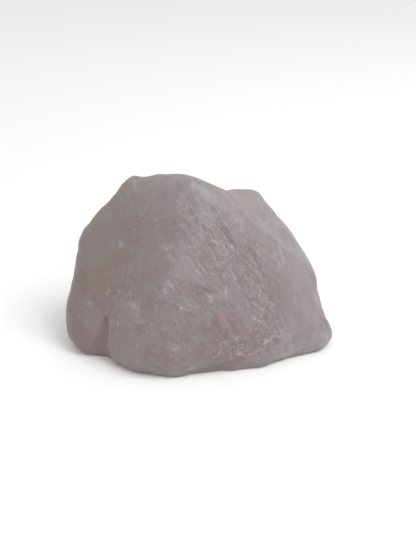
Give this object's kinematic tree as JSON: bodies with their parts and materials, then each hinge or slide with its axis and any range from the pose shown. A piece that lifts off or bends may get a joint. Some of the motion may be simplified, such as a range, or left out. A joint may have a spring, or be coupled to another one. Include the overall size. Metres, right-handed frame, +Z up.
{
  "type": "rough quartz stone",
  "caption": "Rough, unpolished lump of pale milky pink quartz with broken faces, worn edges and a flat sole to rest on.",
  "frame": {"origin": "middle of the stone's outline as seen from above, on the surface that it rests on", "axes": "+Z up from the flat sole; +X along the stone's longest side, from its blunt left lobe towards its low right toe; -Y out of its broad fractured front"},
  "size_m": [0.06, 0.041, 0.039],
  "materials": {
    "milky_quartz": "rough, unpolished, milky and slightly translucent"
  },
  "bodies": {
    "root": {"stone": "milky_quartz"}
  },
  "joints": []
}
